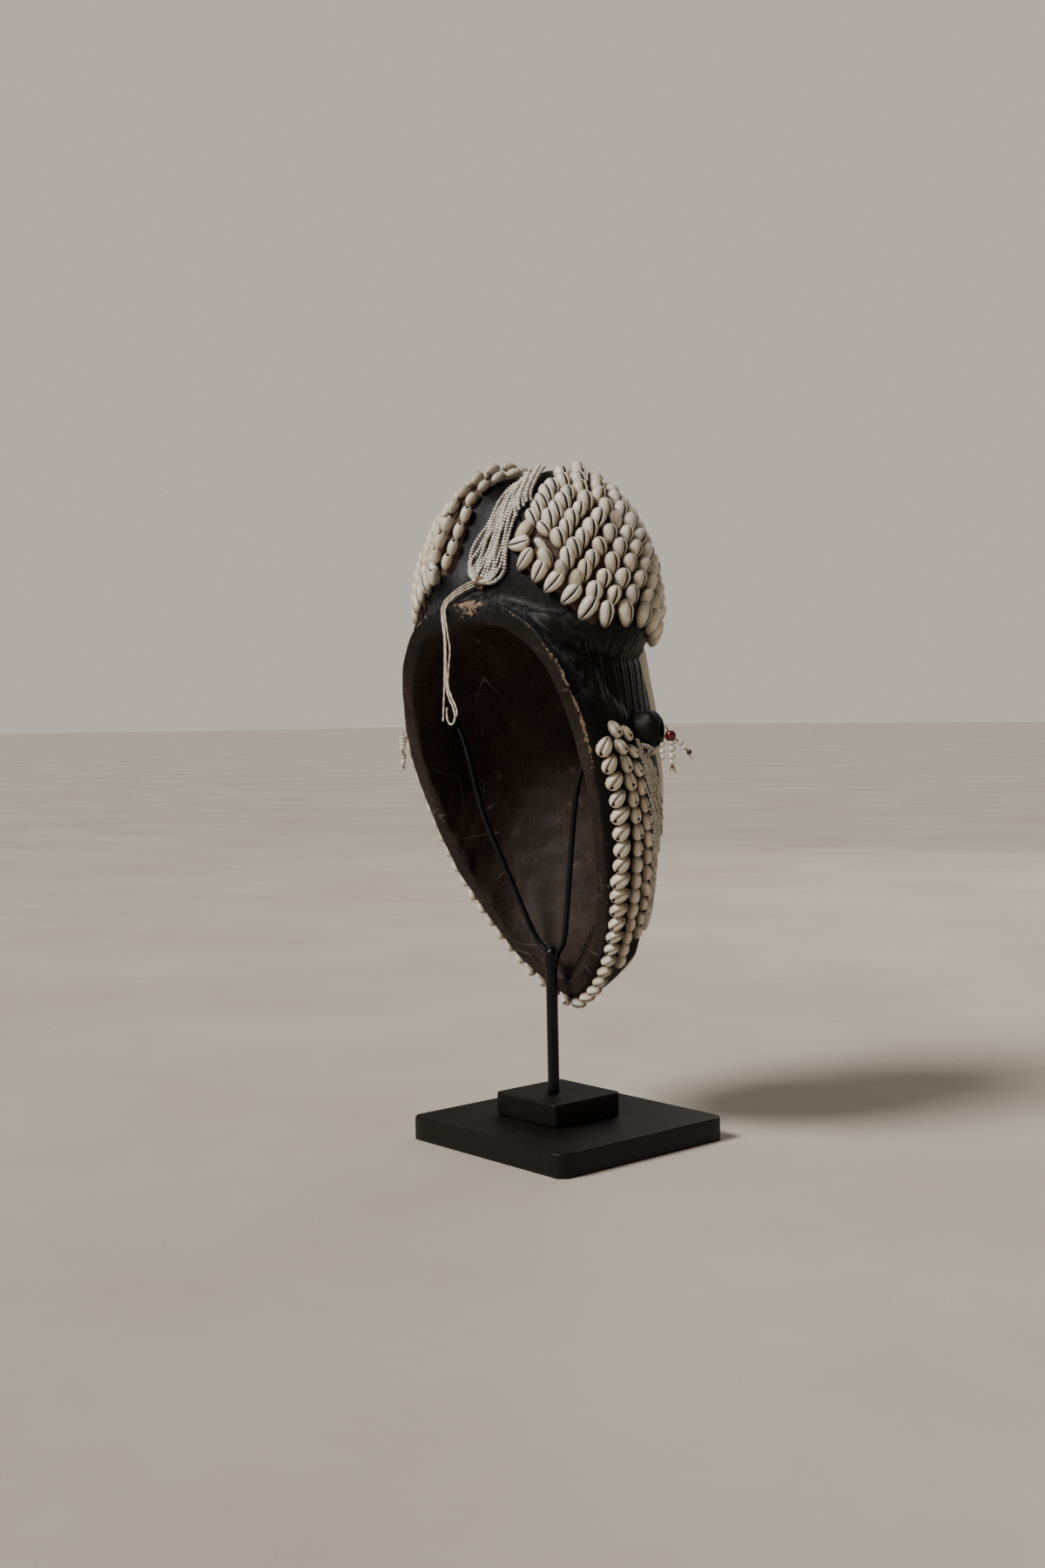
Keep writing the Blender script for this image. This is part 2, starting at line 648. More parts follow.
def coiffure(x, y, z):
    """A dome, taller above its middle than below, with a valley over the crown between two lobes."""
    py, pz = y - DOME_CENTRE_Y, z - DOME_CENTRE_Z
    radii = (DOME_HALF_WIDTH, DOME_HALF_DEPTH, np.where(pz > 0, DOME_ABOVE, DOME_BELOW))
    dome = ellipsoid(x, py, pz, (0, 0, 0), radii)
    rise = np.degrees(np.arctan2(pz, py))
    return dome + read(VALLEY_DEPTH, rise) * bell(x, read(VALLEY_HALF_WIDTH, rise), 2.8)


def eye_line(side_x):
    """Height of the closed lids' meeting line at a distance from the middle: it sags between its corners."""
    return EYE_CORNER_Z - EYE_SAG * (1 - ((side_x - EYE_X) / EYE_HALF_WIDTH) ** 2)


def brow_line(side_x):
    """Height of the brow at a distance from the middle: a parabola that falls on both sides of its top."""
    return BROW_Z - (side_x - BROW_X) ** 2 / BROW_BEND


def face_features(x, y, z):
    """Nose, closed lids, lips and chin as blended ellipsoids, and a raised arched brow."""
    side_x = np.abs(x)
    blend = 4.5
    field = ellipsoid(side_x, y + NOSE_SLOPE * (NOSE_BRIDGE[0][2] - z), z, *NOSE_BRIDGE)
    for lump in FACE_LUMPS:
        field = smooth_min(field, ellipsoid(side_x, y, z, *lump), blend)
    brow = np.hypot(z - brow_line(side_x), y + 53.5 - side_x**2 / 150) - BROW_RADIUS
    brow = np.maximum(np.maximum(brow, side_x - BROW_TO), BROW_FROM - side_x)
    return smooth_min(field, brow, blend)


def face_cuts(x, y, z):
    """Depth of the fine cuts: between the lids, above them, between the lips, below and beside the nose."""
    side_x = np.abs(x)
    fold = eye_line(side_x) + 9.5 - 0.012 * (side_x - EYE_X) ** 2
    parting = 155.6 - 0.7 * np.cos(side_x / 5.5)
    beside_nose = 20 + 0.35 * (185 - z)
    cut = 1.5 * bell(z - eye_line(side_x), 1.3) + 0.8 * bell(z - fold, 1.5)
    cut *= smooth_step(18.5, 14, np.abs(side_x - EYE_X))
    cut += 1.6 * bell(z - parting, 1.3) * smooth_step(19, 14, side_x)
    cut += 0.9 * bell(x, 3) * band(166, 169, 174, 178, z)
    cut += bell(side_x - beside_nose, 3) * band(166, 174, 186, 196, z)
    return cut * (y < -20)


def from_ahead(x, y, z):
    """The angle at the eye point between straight ahead and a place."""
    return np.arctan2(np.hypot(x, z - EYE_POINT[2]), EYE_POINT[1] - y)


def temple_flutes(x, y, z):
    """Combed grooves of the temple hair: a cosine of the angle from straight ahead, faded at the edges."""
    angle = np.degrees(from_ahead(x, y, z))
    patch = band(279, 290, 330, 338, z) * smooth_step(60, 72, np.abs(x)) * band(76, 78, 103, 105, angle)
    return patch, np.cos((angle - 78) / FLUTE_ANGLE * 2 * np.pi)


def outside(x, y, z, collar_blend=10.0, hair_blend=6.0):
    """The whole outer form as one field, negative in the wood."""
    field = smooth_min(collar(x, y, z), head(x, y, z), collar_blend)
    field = smooth_min(field, face_features(x, y, z), 4)
    field = smooth_min(field, coiffure(x, y, z), hair_blend)
    field = smooth_min(field, ellipsoid(np.abs(x), y, z, *EAR_KNOB), 4)
    patch, wave = temple_flutes(x, y, z)
    return field + FLUTE_DEPTH * patch * wave


def cut_outside(x, y, z):
    """The outer form with its sharp work: crisp grooves where hair, collar and temple meet,
    a bowl in each ear and the face's fine cuts."""
    upper = smooth_step(285, 305, z)
    border, face, hair = collar(x, y, z), head(x, y, z), coiffure(x, y, z)
    field = outside(x, y, z, 10 - 6.5 * upper, 6 - 3.5 * upper)
    groove = 1.2 * bell(hair - np.minimum(border, face), 2.2) * smooth_step(300, 325, z)
    groove += 2.0 * bell(border - face, 2.4) * upper * smooth_step(356, 344, z)
    return -smooth_min(-field, ellipsoid(np.abs(x), y, z, *EAR_BOWL), 1.5) + groove + face_cuts(x, y, z)


def hollow(x, y, z):
    """The opening's egg carried in to a wall's thickness behind the face, negative in the air."""
    depth = np.maximum(rim_back(z) - read_smooth(HEAD_FRONT, z) - FACE_WALL, 20)
    inward = np.maximum(rim_back(z) - y, 0) / depth
    egg = oval(x, z, RIM_HALF_WIDTH - RIM_WALL, RIM_ABOVE - RIM_WALL - 1, RIM_BELOW - RIM_WALL - 2)
    return (egg**2.6 + inward**2.6) ** (1 / 2.6) - 1


def reach(directions, field, step=3.0, farthest=262.0):
    """Walk out from the eye point in steps until the field turns positive, then halve the last step."""
    near = np.full(len(directions), 4.0)
    walking = np.arange(len(directions))
    while len(walking):
        ahead = EYE_POINT + directions[walking] * (near[walking] + step)[:, None]
        inside = (field(*ahead.T) < 0) & (near[walking] < farthest)
        walking = walking[inside]
        near[walking] += step
    far = near + step
    for _ in range(20):
        middle = (near + far) / 2
        inside = field(*(EYE_POINT + directions * middle[:, None]).T) < 0
        near, far = np.where(inside, middle, near), np.where(inside, far, middle)
    return EYE_POINT + directions * near[:, None]


def on_wood(targets):
    """The outer surface behind each target, as seen from the eye point."""
    return reach(unit(np.atleast_2d(np.asarray(targets, float)) - EYE_POINT), outside)


def facing(points, reach_out=2.5):
    """The outward direction at places on the wood: the outer field's slope across a few millimetres."""
    slopes = []
    for axis in np.eye(3) * reach_out:
        slopes.append(outside(*(points + axis).T) - outside(*(points - axis).T))
    return unit(np.stack(slopes, -1))


def rim_point(angle, inset=0.0, forward=0.0):
    """The opening's edge at an angle from the top towards +X, found by halving along its spoke."""
    angle, inset, forward = np.broadcast_arrays(np.atleast_1d(angle).astype(float), inset, forward)
    near, far = np.zeros(angle.shape), np.full(angle.shape, 300.0)
    for _ in range(34):
        r = (near + far) / 2
        egg = oval(r * np.sin(angle), EYE_POINT[2] + r * np.cos(angle),
                   RIM_HALF_WIDTH - inset, RIM_ABOVE - inset, RIM_BELOW - inset)
        near, far = np.where(egg < 1, r, near), np.where(egg < 1, far, r)
    z = EYE_POINT[2] + near * np.cos(angle)
    return np.stack([near * np.sin(angle), rim_back(z) - forward, z], -1)


def before_rim(angle, forward):
    """A place on the wood a distance before the rim."""
    return on_wood(rim_point(angle, 0.0, forward))


def hand_wobble(points, size, wave_length, seed):
    """Three crossing sine waves through space a direction, seeded: the unevenness of hand work."""
    numbers = np.random.default_rng(seed)
    shift = np.zeros_like(points)
    for _ in range(3):
        along = unit(numbers.normal(size=(3, 3))) * 2 * np.pi / wave_length
        wave = np.sin(points @ along.T + numbers.uniform(0, 6.3, 3))
        shift += wave * size / 1.7
        wave_length *= 0.62
        size *= 0.55
    return shift


def cast(spoke_ends, angles, field):
    """Rings where a field turns positive: on the spoke through each end, at angles from straight ahead."""
    out = unit((spoke_ends - EYE_POINT) * [1, 0, 1])
    rays = np.stack([np.sin(angles) * out[:, 0], -np.cos(angles), np.sin(angles) * out[:, 2]], -1)
    return reach(rays.reshape(-1, 3), field).reshape(rays.shape)


def carving_rings():
    """Rings of places from the nose out to the rim, over its rounded edge, and in to the hollow's middle,
    with the number before the edge and on it and each spoke's angle."""
    angle = round_steps(SPOKES)
    edge = reach(unit(rim_point(angle, 0.0, LIP) - EYE_POINT), cut_outside)
    last = from_ahead(*edge.T)
    face_end = np.minimum(np.radians(78), last * 0.72)
    hair_end = face_end + np.minimum(1, (last - face_end) * 0.86 / np.radians(25)) * np.radians(27)
    hair_end = np.minimum(hair_end, last - 0.02)
    outer = cast(edge, np.concatenate([
        np.linspace(0, 1, FACE_RINGS + 1)[1:, None] * face_end,
        face_end + (hair_end - face_end) * np.linspace(0, 1, HAIR_RINGS + 1)[1:, None],
        hair_end + (last - hair_end) * (1 - (1 - np.linspace(0, 1, EDGE_RINGS + 2)[1:-1, None]) ** 1.5),
    ]), cut_outside)
    bend = np.linspace(0, np.pi / 2, LIP_RINGS)
    early, late = LIP * (1 - np.cos(bend)), LIP * (1 - np.sin(bend))
    flare = edge - rim_point(angle, 0.0, LIP)
    over = [rim_point(angle, e, f) + flare * np.cos(t) for e, f, t in zip(early, late, bend)]
    flat = [rim_point(angle, d) for d in (4.0, 6.5)]
    inward = [rim_point(angle, RIM_WALL - f, e) for e, f in zip(early, late)]
    start = rim_point(angle, RIM_WALL + 1)
    last = from_ahead(*start.T) - 0.035
    inner = cast(start, np.linspace(1, 0, INNER_RINGS + 1)[:-1, None] * last, hollow)
    rim = over + flat + inward
    return np.concatenate([outer, rim, inner]), len(outer), len(rim), angle


def carving_marks(points, bare_edge, inside):
    """Where each finish lies: paint, inside, bare edge, dust, combed hair, lips and drawn lines, each from
    0 to 1, and the number of fine combed lines in the temple hair, counted from its front."""
    x, y, z = points.T
    side_x = np.abs(x)
    border, face = collar(x, y, z), head(x, y, z)
    crease = coiffure(x, y, z) - np.minimum(border, face)
    patch, wave = temple_flutes(x, y, z)
    lines = np.degrees(from_ahead(x, y, z)) / (FLUTE_ANGLE / 2)
    painted = smooth_step(0, 5, rim_back(z) - y - read(PAINT_FROM, z)) * smooth_step(-1, 3, crease)
    painted *= smooth_step(2, 8, ellipsoid(side_x, y, z, *EAR_KNOB)) * (1 - inside)
    ridge = 0.7 * bell(border - face + 3.0, 1.3) * band(285, 305, 344, 356, z)
    dust = np.maximum(bell(crease - 2.5, 4.0) * smooth_step(318, 338, z), ridge) * (1 - inside)
    dust = np.maximum(dust, 0.2 * patch * smooth_step(0.2, 0.9, wave))
    lips = np.minimum(ellipsoid(side_x, y, z, *UPPER_LIP), ellipsoid(side_x, y, z, *LOWER_LIP))
    lips = smooth_step(0.6, -0.8, lips) * painted
    brows = bell(z - brow_line(side_x), 3.2, 4) * band(BROW_FROM, 13, 60, BROW_TO, side_x)
    lashes = bell(z - eye_line(side_x), 1.4) * smooth_step(18, 14, np.abs(side_x - EYE_X))
    drawn = np.maximum(brows, lashes) * smooth_step(-15, -25, y) * painted
    return {
        "painted": painted, "inside": inside,
        "wear": np.stack([bare_edge, dust, patch], 1),
        "face_colour": np.stack([lips, drawn, lines], 1),
    }


def split_mark(tree, name):
    """A mark on the mesh that is three numbers."""
    vector = add_node(tree, "ShaderNodeAttribute", attribute_name=name).outputs["Vector"]
    parts = add_node(tree, "ShaderNodeSeparateXYZ", Vector=Output(vector))
    return [Output(part) for part in parts.outputs]


def stretched(place, stretch, shift=(0, 0, 0)):
    """A place with its axes stretched and then shifted."""
    node = add_node(tree_of(place), "ShaderNodeMapping", Vector=place, Scale=stretch, Location=shift)
    return Output(node.outputs[0])


def scratches(place, scale, stretch, width, shift):
    """Thin curved lines where slow stretched clouds pass their middle value, kept only in some places."""
    moved = stretched(place, stretch, shift)
    away = calculate("ABSOLUTE", noise(moved, scale, 1.0, 0.3) - 0.5)
    return falling(away, 0.0, width) * rising(noise(moved, scale * 1.7, 3.0), 0.53, 0.60)


def carved_wood():
    """Blackened, brown and painted wood, chosen by the marks on the mesh, with dust and bare edges."""
    material, shader = paint("carved_wood")
    tree = material.node_tree
    place = object_place(tree)
    painted, inside = mark(tree, "painted"), mark(tree, "inside")
    bare_edge, dust, combed = split_mark(tree, "wear")
    lips, drawn, comb_place = split_mark(tree, "face_colour")
    along_grain = stretched(place, (1, 1, 0.12))
    grain = noise(along_grain, 420, 5.0, 0.6)
    clouds = noise(place, 24, 7.0, 0.62)
    specks = noise(place, 650, 4.0, 0.6)

    black = ramp(clouds, (0.3, (0.0026, 0.0025, 0.0026)), (0.55, (0.0052, 0.0050, 0.0046)),
                 (0.8, (0.0095, 0.0082, 0.0070)))
    comb = calculate("SINE", comb_place * (2 * np.pi))
    lit_lines = rising(comb, 0.4, 0.9) * combed * rising(noise(along_grain, 160), 0.45, 0.62)
    black = mix_colour(lit_lines * 0.7, black, (0.042, 0.045, 0.046))
    brown = ramp(clouds, (0.25, (0.014, 0.0092, 0.0070)), (0.5, (0.028, 0.0190, 0.0148)),
                 (0.78, (0.052, 0.037, 0.029)))
    streak = ramp(grain, (0.35, (0.75, 0.75, 0.75)), (0.65, (1.18, 1.16, 1.14)))
    brown = mix_colour(1.0, brown, streak, "MULTIPLY")
    curved = scratches(place, 24, (1.0, 1.0, 0.7), 0.007, (0.0, 0.0, 0.0))
    level = scratches(place, 40, (0.35, 0.35, 1.9), 0.008, (0.31, 0.17, 0.05))
    cuts = calculate("MAXIMUM", curved, level)
    brown = mix_colour(cuts * 0.85, brown, (0.15, 0.12, 0.095))
    wood = mix_colour(inside, black, brown)

    chalk = ramp(clouds, (0.3, (0.40, 0.36, 0.27)), (0.55, (0.55, 0.50, 0.39)), (0.8, (0.62, 0.58, 0.47)))
    rubbed = rising(noise(place, 60, 8.0, 0.7), 0.60, 0.68)
    chalk = mix_colour(rubbed * 0.7, chalk, (0.16, 0.11, 0.075))
    chalk = mix_colour(lips * 0.85, chalk, (0.20, 0.055, 0.038))
    chalk = mix_colour(drawn * 0.92, chalk, (0.016, 0.013, 0.011))
    edge_of_paint = rising(painted + (specks - 0.5) * 0.7, 0.42, 0.55)
    wood = mix_colour(edge_of_paint, wood, chalk)

    dusty = dust * rising(noise(place, 190, 7.0, 0.75), 0.44, 0.66)
    wood = mix_colour(dusty * 0.6, wood, (0.085, 0.094, 0.098))
    ragged = (noise(place, 230, 8.0, 0.75, 0.4) - 0.5) * 4.2
    bare = rising(bare_edge + ragged, 0.66, 0.80) * rising(bare_edge, 0.12, 0.3)
    wood = mix_colour(bare * 0.85, wood, mix_colour(specks, (0.13, 0.085, 0.055), (0.40, 0.29, 0.20)))

    rough = ramp(clouds, (0.3, (0.34, 0.34, 0.34)), (0.75, (0.54, 0.54, 0.54)))
    for share, level in ((inside, 0.62), (edge_of_paint, 0.72), (bare, 0.8)):
        rough = mix_colour(share, rough, (level, level, level))

    scoops = noise(stretched(place, (1, 1, 0.35)), 55, 2.0) * 1.1
    height = (scoops - cuts * 0.25) * inside + specks * 0.10 + grain * 0.12 + comb * combed * 0.14
    set_up(shader, Base_Color=wood, Roughness=rough, Specular_IOR_Level=0.14,
           Normal=bump(height, 0.9, 0.0016))
    return material


def make_carving():
    """The closed mesh of rings with its marks; the wobble is less on the outside, where shells sit."""
    rings, before_edge, on_edge, angle = carving_rings()
    ahead = np.array([[0, -1.0, 0]])
    points, *faces = skin(rings, reach(ahead, cut_outside), reach(ahead, hollow))
    past = np.arange(len(rings))[:, None] - before_edge
    worn_at = [
        (-180, 0.2), (-110, 0.25), (-84, 0.3), (-76, 0.9), (-46, 0.95), (-38, 0.5), (-11, 0.3), (-7, 0.95),
        (2, 1.0), (6, 0.35), (17, 0.25), (20, 0.85), (25, 0.8), (28, 0.25), (58, 0.3), (70, 0.62), (100, 0.6),
        (115, 0.25), (180, 0.2)]
    turned = (np.degrees(angle) + 180) % 360 - 180
    brown_edge = read([(-180, 0.8), (-50, 0.8), (-28, 0.1), (32, 0.1), (50, 0.7), (180, 0.8)], turned)

    def at_corners(values, *ends):
        """One value for each corner of the rings, then one for each end."""
        return np.append(np.broadcast_to(values, rings.shape[:2]), ends)

    deep_ring = smooth_step(on_edge - 4, on_edge, past)
    deep = at_corners(deep_ring, 0, 1)
    brown = at_corners(smooth_step(1, 4, past) * brown_edge + deep_ring * (1 - brown_edge), 0, 1)
    worn = at_corners(read(worn_at, turned) * bell(past - 2.0, 1.5 + 3.0 * bell(turned + 2, 6)), 0, 0)
    edge = at_corners(bell(past - 3.0, 3.2), 0, 0)
    uneven = hand_wobble(points, 0.30, 55, 3) + hand_wobble(points, 0.9, 34, 8) * deep[:, None]
    uneven += hand_wobble(points, 0.8, 46, 5) * (edge * (1 - deep))[:, None]
    marks = carving_marks(points, worn, brown)
    shape = (points + uneven, *faces)
    make_piece("hollowed_mask", shape, carved_wood(), ["carved_mask"], marks)


make_carving()


# The lobes' covering: small money cowries, backs cut flat, glued side by side in rows with brown glue.
# Each row's broad raised ends lie over the narrow ends of the row above it; the shells along
# the lower border are larger and lie whole to view.
RIGHT_BORDER = [
    (41, 66, 402), (44, 70, 389), (53, 69, 379), (73, 60, 363), (87, 48, 347.5),
    (96, 22, 346), (88, -8, 342), (68, -28, 344), (44, -38, 348)]
RIGHT_CREST = [
    (40, 64, 409), (38, 58, 421), (38, 50, 431), (37, 38, 441), (35, 12, 448),
    (34, -8, 441), (35, -22, 426), (38, -32, 400), (41, -36, 372)]
LEFT_BORDER = [
    (27, 74, 385), (35, 73, 381), (44, 72, 376), (66, 63, 360), (87, 46, 346),
    (96, 22, 346), (88, -8, 342), (68, -28, 344), (44, -38, 348)]
LEFT_CREST = [
    (23, 72, 392), (21.5, 66, 408), (20, 58, 422), (18, 47, 437), (12, 16, 448),
    (14, -8, 442), (19, -24, 426), (28, -34, 400), (36, -38, 372)]
BORDER_SHELL, BORDER_LIFT = (17.4, 11.0, 7.2), 4.4
FIELD_SHELL, FIELD_LIFT = (14.6, 10.3, 7.6), 4.6
FIRST_ROW, ODD_SHELL_ROOM = 7.6, 7.5
BORDER_PITCH, BORDER_SPACING = 12.4, 10.6
FIELD_PITCH, FIELD_SPACING = 11.8, 9.8


def cowrie_form():
    """Six rings of eleven corners from the narrow end to the broad one: an egg in plan, flat beneath,
    domed above, with a groove between two lips. Axes: across, along (0 to 1), up; widths are halves."""
    section = np.array([
        (-0.60, -0.30, -1.6), (0.60, -0.30, 1.6), (0.98, 0.08, 1.25), (0.94, 0.48, 0.95), (0.70, 0.80, 0.6),
        (0.37, 0.96, 0.22), (0.20, 0.62, 0.0), (0.03, 0.99, -0.22), (-0.46, 0.90, -0.6), (-0.88, 0.55, -0.95),
        (-0.98, 0.08, -1.25)])
    along = np.array([0.035, 0.17, 0.38, 0.62, 0.84, 0.967])
    middle = 0.16
    q = 2 * along - 1
    girth = np.sqrt(1 - q**2) * (1 + 0.24 * q)
    girth /= girth.max()
    rise = (1 - np.abs(q) ** 2.6) ** 0.5 * (1 + 0.08 * q)
    bend = 0.10 * np.sin(np.pi * (1 - along)) * np.exp(-(section[:, 2] / 0.7)[:, None] ** 2)
    across = section[:, 0, None] * girth + bend * girth
    up = middle + (section[:, 1, None] - middle) * rise
    rings = np.stack([across, np.broadcast_to(along, across.shape), up], -1).transpose(1, 0, 2)
    points, *faces = skin(rings, (0, 0, middle), (0, 1, middle))
    groove = np.append(np.tile(section[:, 2], len(along)), [0, 0])
    return points, np.stack([groove, points[:, 1]], 1), faces


COWRIE = cowrie_form()


def lean(axis, other, angle):
    """Each row of an axis turned towards another, square to it, by an angle."""
    angle = np.broadcast_to(angle, len(axis))[:, None]
    return axis * np.cos(angle) + other * np.sin(angle)


def placed(form, faces, centres, axes, scale):
    """Copies of a form as one shape, each stretched by its scale along its own three axes."""
    points = centres[:, None] + (form * scale[:, None]) @ np.stack(axes, 1)
    starts = np.arange(len(centres))[:, None, None] * len(form)
    quads, fans = ((corners[None] + starts).reshape(-1, corners.shape[1]) for corners in faces)
    return points.reshape(-1, 3), quads, fans


def lay_cowries(centres, up, axis, size, numbers,
                tilt=0.0, turn=0.0, roll=0.0, closed=0.0, vary=0.08, dirt=0.3):
    """Shells at places on the wood. Each axis runs to the broad end; it is turned about up, tilted up,
    and rolled about itself, in radians. Sizes and angles vary a little from shell to shell. closed is 0
    for an open slit, up to 1 for one that shows as a notch near the broad end, -1 for a hole in the side."""
    n = len(centres)
    form, place, faces = COWRIE
    tilt, turn, roll = (angle + numbers.normal(0, spread, n)
                        for angle, spread in ((tilt, 0.05), (turn, 0.10), (roll, 0.09)))
    up = unit(up)
    axis = unit(axis - up * (axis * up).sum(1, keepdims=True))
    axis = lean(axis, np.cross(axis, up), turn)
    raised = lean(axis, up, tilt)
    rolled = lean(lean(up, -axis, tilt), np.cross(axis, up), roll)
    size = size * (1 + numbers.uniform(-vary, vary, (n, 3)))
    size = size * (1 + numbers.uniform(-vary, vary, (n, 1)))
    scale = np.stack([size[:, 1] / 2, size[:, 0], size[:, 2] / 1.3], 1)
    shape = placed(form - [0, 0.5, 0.33], faces, centres, [np.cross(raised, rolled), raised, rolled], scale)
    tone = np.repeat(numbers.uniform(0, 1, n), len(form))
    return shape, {
        "shell_place": np.column_stack([np.tile(place, (n, 1)), tone]),
        "shell_kind": np.column_stack([np.tile(form[:, 2], n), np.full((len(tone), 2), (closed, dirt))]),
    }


def gathered(parts):
    """Several laid groups as one shape, with their marks in the same order."""
    shape = joined([p[0] for p in parts])
    return shape, {key: np.concatenate([p[1][key] for p in parts]) for key in parts[0][1]}


def cowrie_shell():
    """Cream porcelain-like shell: a dark toothed slit down the middle of each, brown dirt low down,
    and each shell a little warmer, greyer or more worn than the next."""
    material, shader = paint("cowrie_shell")
    tree = material.node_tree
    place = object_place(tree)
    across, along, tone = split_mark(tree, "shell_place")
    height, closed, dirt = split_mark(tree, "shell_kind")
    clouds = noise(place, 160, 4.0, 0.6)
    fine = noise(place, 900, 3.0, 0.6)
    cream = ramp(tone, (0.0, (0.66, 0.58, 0.44)), (0.35, (0.76, 0.69, 0.56)), (0.7, (0.73, 0.68, 0.58)),
                 (1.0, (0.60, 0.55, 0.45)))
    colour = mix_colour(rising(clouds, 0.50, 0.72) * 0.45, cream, (0.44, 0.35, 0.23))

    away = calculate("ABSOLUTE", across)
    top = rising(height, 0.35, 0.5)
    low = falling(height + clouds * 0.35, 0.26, 0.64)
    under = falling(along, 0.08, 0.27)
    soiled = calculate("MULTIPLY", calculate("MAXIMUM", low, under), dirt, clamp=True)
    colour = mix_colour(soiled, colour, (0.085, 0.052, 0.031))
    colour = mix_colour(rising(away, 0.62, 1.2) * 0.22, colour, (0.36, 0.27, 0.17))
    teeth = rising(calculate("SINE", along * 88.0), 0.35, 0.75) * falling(away, 0.16, 0.40)
    colour = mix_colour(teeth * top * 0.45, colour, (0.20, 0.13, 0.08))

    shut = calculate("ABSOLUTE", closed)
    in_side = calculate("LESS_THAN", closed, -0.5)
    slit_width = ((1.0 - along) * 0.07 + 0.165) * calculate("SUBTRACT", 1.0, shut, clamp=True)
    slit = falling(away / (slit_width + along * (shut * 0.075)), 0.75, 1.0) * top
    hole_along = (along - shut + 0.16) * 9.5
    hole_across = (across - in_side * 1.1 + 0.08) * 3.2
    hole = falling(hole_along * hole_along + hole_across * hole_across, 0.6, 1.0)
    hole = hole * (calculate("GREATER_THAN", shut, 0.5) * calculate("MAXIMUM", top, in_side))
    dark = calculate("MAXIMUM", slit, hole)
    colour = mix_colour(dark, colour, (0.010, 0.0075, 0.006))
    rough = mix_colour(fine, (0.30, 0.30, 0.30), (0.48, 0.48, 0.48))
    rough = mix_colour(calculate("MAXIMUM", dark, soiled), rough, (0.8, 0.8, 0.8))
    set_up(shader, Base_Color=colour, Roughness=rough, Normal=bump(fine * 0.2 - teeth * 0.6, 0.5, 0.0004))
    return material


def lobe_grid(side, border, crest, across=181, along=71):
    """Places on the wood, facings and distances from the border, on rulings from border to crest."""
    mirror = [side, 1, 1]
    start = spline(np.array(border) * mirror, across)[:, None]
    end = spline(np.array(crest) * mirror, across)[:, None]
    targets = start + (end - start) * np.linspace(0, 1, along)[None, :, None]
    places = on_wood(targets.reshape(-1, 3))
    steps = np.linalg.norm(np.diff(places.reshape(across, along, 3), axis=1), axis=2)
    distance = np.concatenate([np.zeros((across, 1)), np.cumsum(steps, 1)], 1)
    return places.reshape(across, along, 3), facing(places).reshape(across, along, 3), distance


def row_line(grid, d):
    """The line at one distance from the border: each ruling is read between the two places around d."""
    places, up, distance = grid
    after = np.clip((distance < d).sum(1), 1, distance.shape[1] - 1)
    u = np.arange(len(places))
    before = after - 1
    span = np.maximum(distance[u, after] - distance[u, before], 1e-6)
    f = np.clip((d - distance[u, before]) / span, 0, 1)[:, None]
    line = places[u, before] * (1 - f) + places[u, after] * f
    ups = up[u, before] * (1 - f) + up[u, after] * f
    ruling = unit(places[u, after] - places[u, before])
    return line, ups, ruling, distance[:, -1]


def shell_rows(grid, keep_off, numbers, side, taken=()):
    """Rows from the border to the crest, each set over by half a shell from the one below. The border's
    row points square to it; the shells above lean towards the valley, most at its crest."""
    most_rows = 40
    parts = []
    d = FIRST_ROW
    for k in range(most_rows):
        pitch, room = (FIELD_PITCH, 3.0) if k else (BORDER_PITCH, 1.0)
        line, ups, ruling, total = row_line(grid, d)
        share = np.linspace(0, 1, len(line))
        clear = total - keep_off >= d + room
        if clear.sum() < 4:
            break
        line, ups, ruling, share, total = (v[clear] for v in (line, ups, ruling, share, total))
        run = travelled(line)
        start = (np.interp(0.35, share, run) + (k % 2) * pitch / 2) % pitch
        at = np.arange(start, run[-1] - pitch * 0.3, pitch)
        at = at[at > pitch * 0.2]
        if len(at) == 0:
            break
        at = at + numbers.uniform(-0.05, 0.05, len(at)) * pitch
        centre, up, rule = (read_line(v, run, at) for v in (line, ups, ruling))
        square = unit(np.cross(up, unit(read_line(line, run, at + 3) - read_line(line, run, at - 3))))
        square *= np.sign((square * rule).sum(1, keepdims=True))
        if k == 0:
            parts.append(lay_cowries(centre + up * BORDER_LIFT, up, square, BORDER_SHELL, numbers,
                                     tilt=0.14, vary=0.05, dirt=0.65))
            d += BORDER_SPACING
            continue
        near_valley = read([(0, 1), (0.12, 1), (0.45, 0)], np.interp(at, run, share))
        climbed = d / np.interp(at, run, total)
        turn = side * np.radians(8 + 58 * climbed) * near_valley + numbers.normal(0, 0.09, len(at))
        roll = np.where(numbers.uniform(size=len(at)) < 0.03, 1.1, 0.0)
        axis = square * max(0.6 - 0.3 * k, 0) + rule
        free = np.ones(len(at), bool)
        for odd in taken:
            free &= np.linalg.norm(centre - odd, axis=1) > ODD_SHELL_ROOM
        centre = centre + up * FIELD_LIFT
        parts.append(lay_cowries(centre[free], up[free], axis[free], FIELD_SHELL, numbers,
                                 tilt=0.46, turn=turn[free], roll=roll[free], dirt=0.85))
        d += FIELD_SPACING
    return parts


def strung_shells(path, lift, size, pitch, numbers, **angles):
    """Shells end to end along a path of targets, raised from the wood; each broad end leads."""
    on = on_wood(even_path(path, int(round(travelled(path)[-1] / pitch)) + 1))
    up = facing(on)
    lift = np.interp(np.linspace(0, 1, len(on)), np.linspace(0, 1, len(lift)), lift)
    return lay_cowries(on + up * lift[:, None], up, np.gradient(on, axis=0), size, numbers, **angles)


